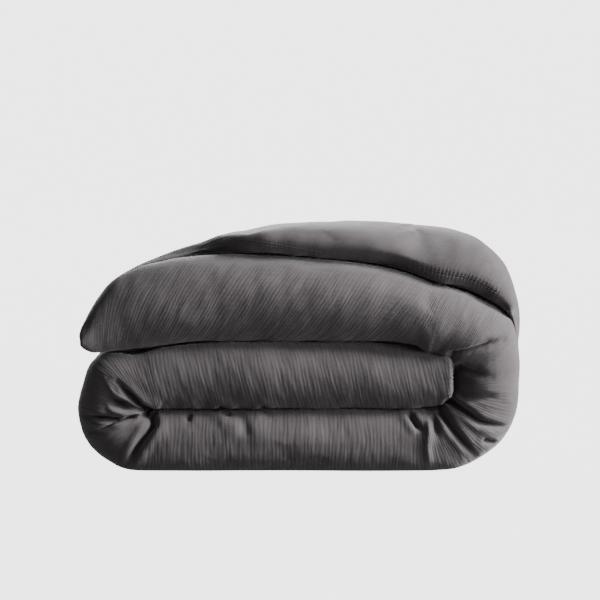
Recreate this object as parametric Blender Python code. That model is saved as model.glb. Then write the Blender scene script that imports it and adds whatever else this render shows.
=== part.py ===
"""A duvet in its cover, folded in thirds across its width and letter-folded in thirds along its length.

Frame: metres, +Z up, origin at the bottom centre, X along the long side, the front faces -Y.
The folded duvet is a thick strip of three plies that runs from the middle layer's end at the right, round the left
bend, along the bottom layer, round the right bend and back over the top to the free end at the left.
Each station of the strip has an inner and an outer point in the XZ plane. The plies' section lies in the plane of Y
and the line from the inner to the outer point: ply C is the outer one, with its sewn edge at the front.
"""

import math

import bmesh
import bpy

# ---- overall sizes -------------------------------------------------------------------------------------------------
WIDTH = 0.664  # X, over the two bends
DEPTH = 0.460  # Y, from the front fold to the back fold
BOTTOM_LAYER = 0.0895
MIDDLE_LAYER = 0.0870
TOP_LAYER = 0.1940  # at its crest, loosely filled
LAYER_GAP = 0.0008  # between two layers of the strip that rest on each other

# ---- the plies and what they are made of ---------------------------------------------------------------------------
PLY_GAP = 0.0010  # between two plies of one layer
GAUZE = 0.0012  # cover panel, two bonded plies of crinkled gauze
TICKING = 0.0006  # casing of the insert
FIT = 0.0003  # between two fabrics that touch
EDGE_SETBACK = 0.036  # sewn edge of ply C behind the front fold
EDGE_ROUNDING = 0.030  # over which a ply thins down to its sewn edge
EDGE_SAMPLES = (0.0, 0.12, 0.45, 1.0)  # places across that rounding, as shares from the sewn edge
INNER_EDGE_INSET = 0.009  # hidden edge of ply B, short of the back fold's centre
SEAM_WIDTH = 0.006
SEAM_THICKNESS = 0.0027

# ---- the bends -----------------------------------------------------------------------------------------------------
BEND_LOOP = 0.003  # radius of the small loop inside the left bend
BEND_STEPS = 8
FOLD_STEPS = 6
FLAP_SPLIT = 0.6  # degrees each side of the back fold's middle, where the flap parts from the top fold
RIGHT_BEND_REACH = 0.132  # from the hinge plane to the outermost point
RIGHT_BEND_MID_HEIGHT = 0.155
RIGHT_BEND_SQUARENESS = 2.4  # exponent of the outline, 2 is an ellipse
SHOULDER_DROP = 0.007  # outer skin at the hinge plane, below the crest

# ---- the free end of the top layer ---------------------------------------------------------------------------------
FREE_END_OVERHANG = 0.004  # short of the left bend's outermost point
TOP_STATIONS = (  # distance from the free end, share of the crest's thickness
    (0.405, 1.00),
    (0.280, 0.965),
    (0.160, 0.80),
    (0.085, 0.645),
    (0.040, 0.48),
    (0.012, 0.33),
)
FREE_END_PINCH = 0.35  # of each ply at the head seam
HEAD_SEAM_SHARE = 0.72  # height of the three head seams, of the last station's thickness
INSERT_SHORT_OF_HEAD = 0.060

# ---- the foot end, closed by buttons, inside the right bend --------------------------------------------------------
BEND_RING = 0.102  # from the closed end of the middle layer to the outermost point of the right bend
HEM_WIDTH = 0.0245
HEM_STACK = 0.032  # thickness of the three hems together
HEM_PLY = 0.0040
FOOT_TAPER = 0.045
INSERT_SHORT_OF_FOOT = 0.090
BUTTON_RADIUS = 0.005
BUTTON_THICKNESS = 0.0024
BUTTON_HOLE_RADIUS = 0.0009
BUTTON_HOLE_PITCH = 0.0034
BUTTON_SPACING = 0.190

# ---- corner ties and loops -----------------------------------------------------------------------------------------
TAPE = 0.0010
TIE_WIDTH = 0.006
TIE_LENGTH = 0.060
LOOP_WIDTH = 0.008
LOOP_LENGTH = 0.016

# ---- places worked out from the sizes ------------------------------------------------------------------------------
LEFT = -WIDTH / 2
RIGHT = WIDTH / 2
FRONT = -DEPTH / 2
BACK = DEPTH / 2
MIDDLE_BASE = BOTTOM_LAYER + LAYER_GAP
TOP_BASE = MIDDLE_BASE + MIDDLE_LAYER + LAYER_GAP
FOOT_END = RIGHT - BEND_RING
LEFT_RADIUS = (MIDDLE_BASE + MIDDLE_LAYER) / 2
LEFT_CENTRE = LEFT + LEFT_RADIUS
HINGE_X = RIGHT - RIGHT_BEND_REACH
HINGE_Z = TOP_BASE + TOP_LAYER - SHOULDER_DROP
MIDDLE_CENTRE_Z = MIDDLE_BASE + MIDDLE_LAYER / 2
INNER_RADIUS = MIDDLE_LAYER / 2 + LAYER_GAP
INNER_FACET = INNER_RADIUS * math.cos(math.pi / BEND_STEPS / 2)
INNER_CENTRE = FOOT_END + FIT - math.sqrt(INNER_FACET**2 - (HEM_STACK / 2) ** 2)
HEM_START = FOOT_END - HEM_WIDTH
FREE_END = LEFT + FREE_END_OVERHANG

GAUZE_COLOUR = (0.075, 0.070, 0.072)
SEAM_COLOUR = (0.055, 0.051, 0.053)
TICKING_COLOUR = (0.80, 0.79, 0.76)
WADDING_COLOUR = (0.90, 0.90, 0.88)
TAPE_COLOUR = (0.10, 0.10, 0.10)
BUTTON_COLOUR = (0.05, 0.05, 0.05)


class Station:
    """One place along the strip: where a section's inner and outer sides lie, and how thick its plies are."""

    def __init__(self, inner, outer, ply=None):
        self.inner = inner
        self.total = math.hypot(outer[0] - inner[0], outer[1] - inner[1])
        self.along = ((outer[0] - inner[0]) / self.total, (outer[1] - inner[1]) / self.total)
        self.pitch = (self.total - 2 * PLY_GAP) / 3 + PLY_GAP
        self.half = (ply if ply else self.pitch - PLY_GAP) / 2

    def place(self, y, n):
        return (self.inner[0] + self.along[0] * n, y, self.inner[1] + self.along[1] * n)


def sampled_section(station, part):
    """Points down the middle of the plies, from ply C's sewn edge to ply B's, each as y, n, outward normal, half.

    part is "all", "flap" (ply C down to the middle of the back fold) or "under" (the rest).
    """
    pitch, mid = station.pitch, station.total / 2
    back_y = BACK - station.total / 2
    front_y = FRONT + station.total / 2 - pitch / 2
    edge = FRONT + EDGE_SETBACK
    points = []

    def half_near_edge(distance):
        least = GAUZE + FIT / 2
        share = min(distance / EDGE_ROUNDING, 1.0)
        return max(least + (station.half - least) * math.sqrt(1 - (1 - share) ** 2), least)

    def add(y, n, normal_deg, half):
        normal = (math.cos(math.radians(normal_deg)), math.sin(math.radians(normal_deg)))
        points.append((y, n, normal, half))

    if part != "under":
        for share in EDGE_SAMPLES:
            distance = share * EDGE_ROUNDING
            add(edge + distance, mid + pitch, 90, half_near_edge(distance))
    angles = [90 - 180 * i / FOLD_STEPS for i in range(FOLD_STEPS + 1)]
    if part == "flap":
        angles = [a for a in angles if a > 0] + [FLAP_SPLIT]
    if part == "under":
        angles = [-FLAP_SPLIT] + [a for a in angles if a < 0]
    for angle in angles:
        turn = math.radians(angle)
        add(back_y + pitch * math.cos(turn), mid + pitch * math.sin(turn), angle, station.half)
    if part == "flap":
        return points
    for i in range(FOLD_STEPS + 1):
        angle = 270 - 180 * i / FOLD_STEPS
        turn = math.radians(angle)
        place_n = mid - pitch / 2 + pitch / 2 * math.sin(turn)
        add(front_y + pitch / 2 * math.cos(turn), place_n, angle, station.half)
    hidden_edge = back_y - INNER_EDGE_INSET
    for share in reversed(EDGE_SAMPLES):
        distance = share * EDGE_ROUNDING
        add(hidden_edge - distance, mid, 90, half_near_edge(distance))
    return points


def ring(station, part, low, high, trim):
    """One closed section: the far side at the offset high(half), the near side at low(half).

    trim leaves out that many points at each sewn edge.
    """
    points = sampled_section(station, part)
    first = trim if part != "under" else 0
    last = len(points) - (trim if part != "flap" else 0)
    points = points[first:last]
    far = [station.place(y + m[0] * high(h), n + m[1] * high(h)) for y, n, m, h in points]
    near = [station.place(y + m[0] * low(h), n + m[1] * low(h)) for y, n, m, h in points]
    return far + near[::-1]


def solid_from_rings(name, rings, material):
    """A closed solid through sections with equal point counts, the caps laid as strips across each section.

    Both sides split their quads along the same diagonal, so nested solids keep their gap.
    """
    count = len(rings[0])
    mesh = bmesh.new()
    rows = [[mesh.verts.new(point) for point in one] for one in rings]
    for row, after in zip(rows, rows[1:]):
        for i in range(count):
            j = (i + 1) % count
            if i < count // 2:
                mesh.faces.new((row[i], row[j], after[j]))
                mesh.faces.new((row[i], after[j], after[i]))
            else:
                mesh.faces.new((row[i], row[j], after[i]))
                mesh.faces.new((row[j], after[j], after[i]))
    for row in (rows[0], rows[-1]):
        for i in range(count // 2 - 1):
            mesh.faces.new((row[i], row[i + 1], row[count - 2 - i], row[count - 1 - i]))
    return finished(name, mesh, material)


def finished(name, mesh, material):
    bmesh.ops.recalc_face_normals(mesh, faces=mesh.faces[:])
    data = bpy.data.meshes.new(name)
    mesh.to_mesh(data)
    mesh.free()
    data.materials.append(material)
    data.shade_smooth()
    data.set_sharp_from_angle(angle=math.radians(50))
    thing = bpy.data.objects.new(name, data)
    bpy.context.collection.objects.link(thing)
    return thing


def fabric(name, colour, roughness=0.9):
    material = bpy.data.materials.new(name)
    material.use_nodes = True
    shader = material.node_tree.nodes["Principled BSDF"]
    shader.inputs["Base Color"].default_value = (*colour, 1.0)
    shader.inputs["Roughness"].default_value = roughness
    shader.inputs["Metallic"].default_value = 0.0
    return material


# ---- the strip's stations ------------------------------------------------------------------------------------------
def foot_stations():
    """The middle layer from the button hems, where the plies thin down, to the start of the left bend."""
    half_stack = HEM_STACK / 2
    hem = [((x, MIDDLE_CENTRE_Z - half_stack), (x, MIDDLE_CENTRE_Z + half_stack)) for x in (FOOT_END, HEM_START)]
    full = (MIDDLE_BASE, MIDDLE_BASE + MIDDLE_LAYER)
    padded = [Station((HEM_START - FIT, hem[1][0][1]), (HEM_START - FIT, hem[1][1][1]), HEM_PLY)]
    for x in (HEM_START - FOOT_TAPER, FOOT_END - INSERT_SHORT_OF_FOOT, LEFT_CENTRE + BEND_LOOP * 6):
        padded.append(Station((x, full[0]), (x, full[1])))
    return [Station(*one, HEM_PLY) for one in hem], padded


def left_bend_stations():
    stations = []
    for i in range(BEND_STEPS + 1):
        turn = math.pi / 2 + math.pi * i / BEND_STEPS
        inner = (LEFT_CENTRE + BEND_LOOP * math.cos(turn), MIDDLE_BASE - LAYER_GAP / 2 + BEND_LOOP * math.sin(turn))
        outer = (LEFT_CENTRE + LEFT_RADIUS * math.cos(turn), LEFT_RADIUS * (1 + math.sin(turn)))
        stations.append(Station(inner, outer))
    x = LEFT_CENTRE + BEND_LOOP * 6
    stations.append(Station((x, BOTTOM_LAYER), (x, 0.0)))
    return stations


def right_bend_stations():
    """Round the middle layer's end: the inner side is round, the outer side is a squarish ellipse."""
    stations = [Station((INNER_CENTRE, BOTTOM_LAYER), (INNER_CENTRE, 0.0))]
    top = HINGE_Z - RIGHT_BEND_MID_HEIGHT
    for i in range(1, BEND_STEPS):
        turn = -math.pi / 2 + math.pi * i / BEND_STEPS
        c, s = math.cos(turn), math.sin(turn)
        rise = top if s > 0 else RIGHT_BEND_MID_HEIGHT
        reach_share = c ** (2 / RIGHT_BEND_SQUARENESS)
        rise_share = math.copysign(abs(s) ** (2 / RIGHT_BEND_SQUARENESS), s)
        inner = (INNER_CENTRE + INNER_RADIUS * c, MIDDLE_CENTRE_Z + INNER_RADIUS * s)
        outer = (HINGE_X + RIGHT_BEND_REACH * reach_share, RIGHT_BEND_MID_HEIGHT + rise * rise_share)
        stations.append(Station(inner, outer))
    x = HINGE_X + FIT / 2
    stations.append(Station((x, TOP_BASE), (x, HINGE_Z)))
    return stations


def top_share(distance):
    """The top layer's thickness at a distance from the free end, as a share of the crest's."""
    for (far, far_share), (near, near_share) in zip(TOP_STATIONS, TOP_STATIONS[1:]):
        if near <= distance <= far:
            return near_share + (far_share - near_share) * (distance - near) / (far - near)
    return TOP_STATIONS[0][1]


def top_stations():
    """The top layer, from the hinge plane to its free end at the left, and the station where the insert ends."""
    x = HINGE_X - FIT / 2
    stations = [Station((x, TOP_BASE), (x, HINGE_Z))]
    distances = sorted([one[0] for one in TOP_STATIONS] + [INSERT_SHORT_OF_HEAD], reverse=True)
    for distance in distances:
        place = FREE_END + distance
        stations.append(Station((place, TOP_BASE), (place, TOP_BASE + TOP_LAYER * top_share(distance))))
    return stations, 2 + distances.index(INSERT_SHORT_OF_HEAD)


def head_stations():
    """The pinched free end: where the shells stop, and the seam that closes them."""
    total = TOP_LAYER * TOP_STATIONS[-1][1] * HEAD_SEAM_SHARE
    ply = total / 3 * FREE_END_PINCH
    places = (FREE_END + SEAM_WIDTH + FIT, FREE_END + SEAM_WIDTH, FREE_END)
    return [Station((x, TOP_BASE), (x, TOP_BASE + total), ply) for x in places]


# ---- pieces of the strip -------------------------------------------------------------------------------------------
def swept(name, stations, part, low, high, trim, material):
    rings = [ring(station, part, low, high, trim) for station in stations]
    return solid_from_rings(name, rings, material)


def shells(prefix, part, outside, inside, looks):
    """Cover panels over the outside stations; ticking panels and wadding over the inside stations."""
    ticking = GAUZE + FIT
    wadding = ticking + TICKING + FIT
    swept(prefix + "_cover_face", outside, part, lambda h: h - GAUZE, lambda h: h, 0, looks["gauze"])
    swept(prefix + "_cover_reverse", outside, part, lambda h: -h, lambda h: GAUZE - h, 0, looks["gauze"])
    swept(
        prefix + "_ticking_face", inside, part,
        lambda h: h - ticking - TICKING, lambda h: h - ticking, 2, looks["ticking"],
    )
    swept(
        prefix + "_ticking_reverse", inside, part,
        lambda h: ticking - h, lambda h: ticking + TICKING - h, 2, looks["ticking"],
    )
    swept(
        prefix + "_wadding", inside, part,
        lambda h: wadding - h, lambda h: h - wadding, 2, looks["wadding"],
    )


def edge_seam(name, stations, hidden, material):
    """The stitched strip that joins the cover's panels along a long edge; hidden is ply B's, inside the back fold."""
    rings = []
    for station in stations:
        if hidden:
            y = BACK - station.total / 2 - INNER_EDGE_INSET
            n = station.total / 2
            near, far = y + FIT, y + FIT + SEAM_WIDTH
        else:
            y = FRONT + EDGE_SETBACK
            n = station.total / 2 + station.pitch
            near, far = y - FIT, y - FIT - SEAM_WIDTH
        up, down = n + SEAM_THICKNESS / 2, n - SEAM_THICKNESS / 2
        rings.append([station.place(*p) for p in ((near, up), (far, up), (far, down), (near, down))])
    return solid_from_rings(name, rings, material)


def end_seam(name, stations, part, material):
    return swept(name, stations, part, lambda h: -h, lambda h: h, 0, material)


def hem_bands(stations, looks):
    """The foot closure's two bands, face to face down the middle of the plies."""
    swept("foot_button_band", stations, "all", lambda h: FIT / 2, lambda h: h, 0, looks["gauze"])
    swept("foot_buttonhole_band", stations, "all", lambda h: -h, lambda h: -FIT / 2, 0, looks["gauze"])


def foot_buttons(material):
    """Six flat two-hole buttons on the button band, two on each ply, in the gaps between the plies."""
    station = Station(
        (FOOT_END - HEM_WIDTH / 2, MIDDLE_CENTRE_Z - HEM_STACK / 2),
        (FOOT_END - HEM_WIDTH / 2, MIDDLE_CENTRE_Z + HEM_STACK / 2),
    )
    lift = HEM_PLY / 2 + FIT + BUTTON_THICKNESS / 2
    mid = station.total / 2
    levels = (mid - station.pitch + lift, mid - lift, mid + station.pitch - lift)
    shifts = (-BUTTON_SPACING / 4, BUTTON_SPACING / 4, 0.0)
    number = 0
    for level, shift in zip(levels, shifts):
        for side in (-1, 1):
            number += 1
            centre = station.place(side * BUTTON_SPACING / 2 + shift, level)
            one_button(f"foot_button_{number}", centre, material)


def one_button(name, centre, material):
    mesh = bmesh.new()
    bmesh.ops.create_cone(
        mesh, cap_ends=True, segments=20, radius1=BUTTON_RADIUS, radius2=BUTTON_RADIUS, depth=BUTTON_THICKNESS
    )
    button = finished(name, mesh, material)
    button.location = centre
    for side in (-1, 1):
        hole = bmesh.new()
        bmesh.ops.create_cone(
            hole, cap_ends=True, segments=8, radius1=BUTTON_HOLE_RADIUS, radius2=BUTTON_HOLE_RADIUS,
            depth=BUTTON_THICKNESS * 3,
        )
        cutter = finished(f"{name}_cutter_{side + 1}", hole, material)
        cutter.location = (centre[0], centre[1] + side * BUTTON_HOLE_PITCH / 2, centre[2])
        cutter.hide_render = True
        cutter.display_type = "WIRE"
        cut = button.modifiers.new("thread hole", "BOOLEAN")
        cut.operation = "DIFFERENCE"
        cut.object = cutter
    return button


def corner_fastening(prefix, insert_end, direction, y, station, level, looks):
    """A tape loop on the insert's corner and the cover's tie that runs through it.

    direction is the sign of X that points from the insert to the cover's end.
    """
    z = station.inner[1] + level
    rise = TAPE / 2 + FIT
    root = insert_end + direction * FIT
    outline = (
        (0.0, rise + TAPE), (LOOP_LENGTH, rise + TAPE), (LOOP_LENGTH, -rise - TAPE), (0.0, -rise - TAPE),
        (0.0, -rise), (LOOP_LENGTH - TAPE, -rise), (LOOP_LENGTH - TAPE, rise), (0.0, rise),
    )
    sides = []
    for side in (-1, 1):
        sides.append([(root + direction * a, y + side * LOOP_WIDTH / 2, z + b) for a, b in outline])
    mesh = bmesh.new()
    near, far = [[mesh.verts.new(p) for p in one] for one in sides]
    mesh.faces.new(near)
    mesh.faces.new(far)
    for i in range(len(outline)):
        j = (i + 1) % len(outline)
        mesh.faces.new((near[i], near[j], far[j], far[i]))
    finished(prefix + "_corner_loop", mesh, looks["tape"])
    x = root + direction * (LOOP_LENGTH - TAPE - FIT - TIE_WIDTH / 2)
    tie = bmesh.new()
    bmesh.ops.create_cube(tie, size=1.0)
    bmesh.ops.scale(tie, vec=(TIE_WIDTH, TIE_LENGTH, TAPE), verts=tie.verts[:])
    bmesh.ops.translate(tie, vec=(x, y, z), verts=tie.verts[:])
    finished(prefix + "_corner_tie", tie, looks["tape"])


def corner_fastenings(foot_station, head_station, looks):
    """One at each corner of the duvet, two at the foot in the middle layer and two at the free head end."""
    foot = FOOT_END - INSERT_SHORT_OF_FOOT
    head = FREE_END + INSERT_SHORT_OF_HEAD
    for end, direction, station, names in (
        (foot, 1, foot_station, ("foot_outer", "foot_inner")),
        (head, -1, head_station, ("head_outer", "head_inner")),
    ):
        outer_y = FRONT + EDGE_SETBACK + EDGE_ROUNDING + TIE_LENGTH / 2
        inner_y = BACK - station.total / 2 - INNER_EDGE_INSET - EDGE_ROUNDING - TIE_LENGTH / 2
        upper = station.total / 2 + station.pitch
        corner_fastening(names[0], end, direction, outer_y, station, upper, looks)
        corner_fastening(names[1], end, direction, inner_y, station, station.total / 2, looks)


def duvet():
    looks = {
        "gauze": fabric("gauze", GAUZE_COLOUR),
        "seam": fabric("seam", SEAM_COLOUR),
        "ticking": fabric("ticking", TICKING_COLOUR),
        "wadding": fabric("wadding", WADDING_COLOUR, 1.0),
        "tape": fabric("tape", TAPE_COLOUR),
        "button": fabric("button", BUTTON_COLOUR, 0.4),
    }
    hems, foot = foot_stations()
    bends = left_bend_stations() + right_bend_stations()
    top, insert_count = top_stations()
    shells_end, seam_start, seam_end = head_stations()
    outside_top = top + [shells_end]
    inside_top = top[:insert_count]

    shells("base", "all", foot + bends, foot[2:] + bends, looks)
    hem_bands(hems, looks)
    foot_buttons(looks["button"])
    edge_seam("base_outer_edge_seam", foot + bends, False, looks["seam"])
    edge_seam("base_inner_edge_seam", foot + bends, True, looks["seam"])
    shells("top_fold", "under", outside_top, inside_top, looks)
    edge_seam("top_fold_edge_seam", outside_top, True, looks["seam"])
    end_seam("top_fold_head_seam", [seam_start, seam_end], "under", looks["seam"])
    shells("flap", "flap", outside_top, inside_top, looks)
    edge_seam("flap_edge_seam", outside_top, False, looks["seam"])
    end_seam("flap_head_seam", [seam_start, seam_end], "flap", looks["seam"])
    corner_fastenings(foot[2], inside_top[-1], looks)


for thing in list(bpy.data.objects):
    bpy.data.objects.remove(thing, do_unlink=True)
duvet()
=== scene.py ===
"""The folded duvet's looks: a crinkled double-gauze cover over its wadding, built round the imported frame.

The cover is one closed skin. Its grid has rows along the folded strip, from the closed foot end inside the right bend
to the free head end at the upper left, and columns round the three plies: the face panel from ply C's sewn edge to
ply B's, then the reverse panel back again. A row's columns lie in the plane of Y and the line from the strip's inner
side to its outer side. The skin is cut into pieces where a joint bends it and where the strip turns at the left.
"""

import math

import bpy
import numpy as np
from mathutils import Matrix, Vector


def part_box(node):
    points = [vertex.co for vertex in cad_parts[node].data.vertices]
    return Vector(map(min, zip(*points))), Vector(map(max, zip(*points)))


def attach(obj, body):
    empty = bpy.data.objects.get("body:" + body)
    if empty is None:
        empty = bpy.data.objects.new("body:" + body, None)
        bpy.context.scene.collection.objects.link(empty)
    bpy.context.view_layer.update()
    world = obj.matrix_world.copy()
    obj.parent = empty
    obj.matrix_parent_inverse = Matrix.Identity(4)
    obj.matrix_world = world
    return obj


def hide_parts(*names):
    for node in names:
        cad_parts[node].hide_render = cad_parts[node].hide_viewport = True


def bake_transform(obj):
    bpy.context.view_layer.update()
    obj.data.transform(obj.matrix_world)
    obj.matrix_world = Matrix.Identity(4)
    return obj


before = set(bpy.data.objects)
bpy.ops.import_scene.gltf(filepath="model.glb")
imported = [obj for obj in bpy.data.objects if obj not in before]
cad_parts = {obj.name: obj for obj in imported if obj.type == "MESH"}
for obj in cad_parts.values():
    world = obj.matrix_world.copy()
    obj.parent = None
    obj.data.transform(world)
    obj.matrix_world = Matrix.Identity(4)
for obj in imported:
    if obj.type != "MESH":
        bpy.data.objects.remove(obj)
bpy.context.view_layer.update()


# ---- places taken from the frame -----------------------------------------------------------------------------------
def span(node):
    low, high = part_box(node)
    return np.array(low), np.array(high)


BASE_LOW, BASE_HIGH = span("base_cover_face")
FLAP_HIGH = span("flap_cover_face")[1]
LEFT = BASE_LOW[0]
FRONT, BACK = BASE_LOW[1], BASE_HIGH[1]
CREST = FLAP_HIGH[2]
TOP_FLOOR = span("top_fold_cover_face")[0][2]  # underside of the top layer
HINGE_X = FLAP_HIGH[0]
FOOT_END = span("foot_button_band")[1][0]
FREE_END = span("top_fold_head_seam")[0][0] + 0.005
LAYER_GAP = 0.0008
LAYER_MEET = 0.0930  # height at which the middle layer lies on the bottom layer
MIDDLE_TOP = TOP_FLOOR - LAYER_GAP

# ---- how the cover is laid -----------------------------------------------------------------------------------------
ROW_STEP = 0.0022
EDGE_SETBACK = 0.030  # ply C's sewn edge behind the front fold, on the top layer
PLY_GAP = 0.0012
EDGE_LIP = 0.0016  # half the thickness of a sewn edge
EDGE_LIFT = 0.006  # the flap's edge stands off the ply under it
PLY_EASE = 0.16  # the plies come to even thirds over this distance behind the front fold
BACK_SAG = 0.030  # the top layer's back stands lower than its front
HEAD_SLOPE = 0.16  # the top layer falls away behind its front fold towards the head end
RIGHT_REACH = 0.136  # how far the right bend stands out from the flap's right end
RIGHT_MID_HEIGHT = 0.155  # the height at which it stands out most
SHOULDER_DROP = 0.014  # it ends this far under the top layer's crest
SQUARENESS = 2.7  # of the right bend's lower half; 2 is an ellipse
UPPER_SQUARENESS = 3.2
FLAP_ROOT_X = 0.10  # the flap lifts to the left of this place
PINCH_LENGTH = 0.020
SEAM_INSET = 0.0165  # the topstitching's distance from the sewn edge
SEAM_HALF_WIDTH = 0.0022  # half the distance between its two rows
STITCH_PITCH = 0.0042
STITCH_LENGTH = 0.0030
THREAD = 0.00035  # radius
LEFT_ROUNDING = 0.94  # of the left bend; 1 is round, less is squarer
LEFT_FOLD_INSET = 0.020  # the left bend's inner crease, to the right of the bend's centre
SEAT_RISE = (  # x, how far the top layer's underside stands above its floor on the plump middle layer
    (-0.330, 0.007), (-0.286, 0.004), (-0.242, 0.007), (-0.200, 0.013), (-0.118, 0.018), (0.090, 0.019),
    (0.150, 0.017), (0.190, 0.013), (0.225, 0.008),
)
TOP_OUTLINE = (  # x from the free end, height above the floor, along the top layer's crest
    (0.000, 0.026), (0.0015, 0.036), (0.004, 0.046), (0.009, 0.060), (0.018, 0.080), (0.032, 0.100),
    (0.052, 0.118), (0.085, 0.132), (0.125, 0.143), (0.170, 0.155), (0.215, 0.168), (0.280, 0.182),
    (0.360, 0.1890), (0.430, 0.187), (0.500, 0.179),
)
TOP_NOSE = np.array(  # the last points' distances from the free end
    [0.070, 0.052, 0.040, 0.032, 0.025, 0.018, 0.013, 0.009, 0.006, 0.004, 0.0025, 0.0015, 0.0]
)
NOSE_LIFT = 0.014  # how far the free end's underside stands off the middle layer, and the length it does so on
FRONT_SHARES = (  # x, z on the outer side, and the share of the thickness that the front fold takes there
    (-0.200, 0.178, 1.00), (-0.330, 0.090, 1.00), (0.000, 0.000, 1.00), (0.332, 0.155, 1.00), (0.327, 0.205, 0.97),
    (0.325, 0.240, 0.90), (0.320, 0.275, 0.74), (0.302, 0.320, 0.60), (0.260, 0.352, 0.56), (0.200, 0.365, 0.60),
    (0.122, 0.371, 0.685), (0.062, 0.371, 0.72), (0.000, 0.365, 0.755), (-0.060, 0.355, 0.82), (-0.118, 0.342, 0.90),
    (-0.150, 0.333, 0.96), (-0.168, 0.328, 0.99), (-0.200, 0.314, 1.00), (-0.320, 0.220, 1.00),
)


# ---- noise ---------------------------------------------------------------------------------------------------------
def gradient_noise(u, v, seed):
    """Smooth 2-D noise, about -0.7 to 0.7, with one cell per unit."""
    angles = np.random.default_rng(seed).uniform(0, 2 * math.pi, (256, 256))
    iu, iv = np.floor(u).astype(int), np.floor(v).astype(int)
    fu, fv = u - iu, v - iv

    def corner(du, dv):
        angle = angles[(iu + du) % 256, (iv + dv) % 256]
        return np.cos(angle) * (fu - du) + np.sin(angle) * (fv - dv)

    wu = fu**3 * (fu * (6 * fu - 15) + 10)
    wv = fv**3 * (fv * (6 * fv - 15) + 10)
    low = corner(0, 0) * (1 - wu) + corner(1, 0) * wu
    high = corner(0, 1) * (1 - wu) + corner(1, 1) * wu
    return low * (1 - wv) + high * wv


def smooth_step(x, low, high):
    t = np.clip((x - low) / (high - low), 0, 1)
    return t * t * (3 - 2 * t)


def smooth_rows(values, sigma):
    """Gaussian smoothing along the first axis, ends held."""
    reach = int(3 * sigma)
    weights = np.exp(-0.5 * (np.arange(-reach, reach + 1) / sigma) ** 2)
    weights /= weights.sum()
    padded = np.concatenate(
        [2 * values[:1] - values[reach:0:-1], values, 2 * values[-1:] - values[-2 : -reach - 2 : -1]]
    )
    return np.stack([np.convolve(padded[:, i], weights, "valid") for i in range(values.shape[1])], axis=1)


# ---- the strip's rows ----------------------------------------------------------------------------------------------
def along_knots(x, knots):
    return np.interp(x, [k[0] for k in knots], [k[1] for k in knots])


def middle_top(x):
    """Where the middle layer and the top layer meet."""
    return MIDDLE_TOP + along_knots(x, SEAT_RISE)


def strip_outline():
    """Points along the folded strip: inner x, z, then outer x, z."""
    points = []
    left_radius = MIDDLE_TOP / 2
    left_x = LEFT + left_radius
    middle_z = (LAYER_MEET + MIDDLE_TOP) / 2
    inner_radius = (MIDDLE_TOP - LAYER_MEET) / 2 + LAYER_GAP
    inner_x = FOOT_END - inner_radius * 0.93
    foot = (  # set back from the foot end, inner side above the bottom layer, outer side below the top layer
        (0.000, 0.024, 0.012), (0.0012, 0.019, 0.006), (0.004, 0.015, 0.003), (0.010, 0.011, 0.001),
        (0.022, 0.007, 0.000), (0.038, 0.003, 0.000), (0.055, 0.0008, 0.0008),
    )
    for back, low, high in foot:
        x = FOOT_END - back
        points.append((x, LAYER_MEET + low, x, middle_top(x) - high))
    for x in np.linspace(FOOT_END - 0.070, left_x + 0.035, 12):
        points.append((x, LAYER_MEET + LAYER_GAP / 2, x, middle_top(x) - LAYER_GAP / 2))
    for turn in np.linspace(math.pi / 2, 1.5 * math.pi, 19):
        c, s = math.cos(turn), math.sin(turn)
        shoulder = math.exp(-(((math.degrees(turn) - 126) / 19) ** 2))
        radius = left_radius * (1 + 0.15 * shoulder)
        outer_x = left_x - 1.05 * radius * abs(c) ** LEFT_ROUNDING
        outer_z = left_radius + radius * math.copysign(abs(s) ** LEFT_ROUNDING, s)
        points.append((left_x + LEFT_FOLD_INSET + 0.003 * c, LAYER_MEET + 0.003 * s, outer_x, outer_z))
    for x in np.linspace(left_x + 0.035, inner_x - 0.01, 12):
        points.append((x, LAYER_MEET - LAYER_GAP / 2, x, 0.0))
    shoulder = CREST - SHOULDER_DROP
    for turn in np.linspace(-math.pi / 2, math.pi / 2, 19):
        c, s = math.cos(turn), math.sin(turn)
        rise = shoulder - RIGHT_MID_HEIGHT if s > 0 else RIGHT_MID_HEIGHT
        power = 2 / (UPPER_SQUARENESS if s > 0 else SQUARENESS)
        across = RIGHT_REACH * max(c, 0) ** power
        up = math.copysign(abs(s) ** power, s) * rise
        points.append(
            (inner_x + inner_radius * c, middle_z + inner_radius * s, HINGE_X + across, RIGHT_MID_HEIGHT + up)
        )
    for x in np.concatenate([np.linspace(inner_x - 0.012, FREE_END + 0.09, 14), FREE_END + TOP_NOSE]):
        top = TOP_FLOOR + along_knots(x - FREE_END, TOP_OUTLINE)
        lifted = NOSE_LIFT * max(1 - (x - FREE_END) / NOSE_LIFT, 0.0) ** 2
        points.append((x, middle_top(x) + LAYER_GAP / 2 + lifted, x, top + 0.5 * lifted))
    return np.array(points)


def strip_rows():
    """Evenly spaced rows: inner and outer points, and the length along the outer side."""
    outline = strip_outline()
    steps = np.hypot(np.diff(outline[:, 2]), np.diff(outline[:, 3]))
    inner_steps = np.hypot(np.diff(outline[:, 0]), np.diff(outline[:, 1]))
    along = np.concatenate([[0], np.cumsum(np.maximum(steps, inner_steps))])
    places = np.arange(0, along[-1], ROW_STEP)
    rows = np.stack([np.interp(places, along, outline[:, i]) for i in range(4)], axis=1)
    return smooth_rows(rows, 3.5), places


# ---- the section's columns -----------------------------------------------------------------------------------------
C_TOP, BACK_FOLD, A_UNDER, FRONT_FOLD, B_TOP = 66, 24, 20, 60, 34
BULGE = 24  # of ply C's columns, round its front edge
FACE_COUNT = C_TOP + BACK_FOLD + A_UNDER + FRONT_FOLD + B_TOP
BACK_MIDDLE = C_TOP + BACK_FOLD // 2
A_START = C_TOP + BACK_FOLD
FRONT_START = A_START + A_UNDER
FRONT_MIDDLE = FRONT_START + FRONT_FOLD // 2
B_START = FRONT_START + FRONT_FOLD
REVERSE_STEP = 6


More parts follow.
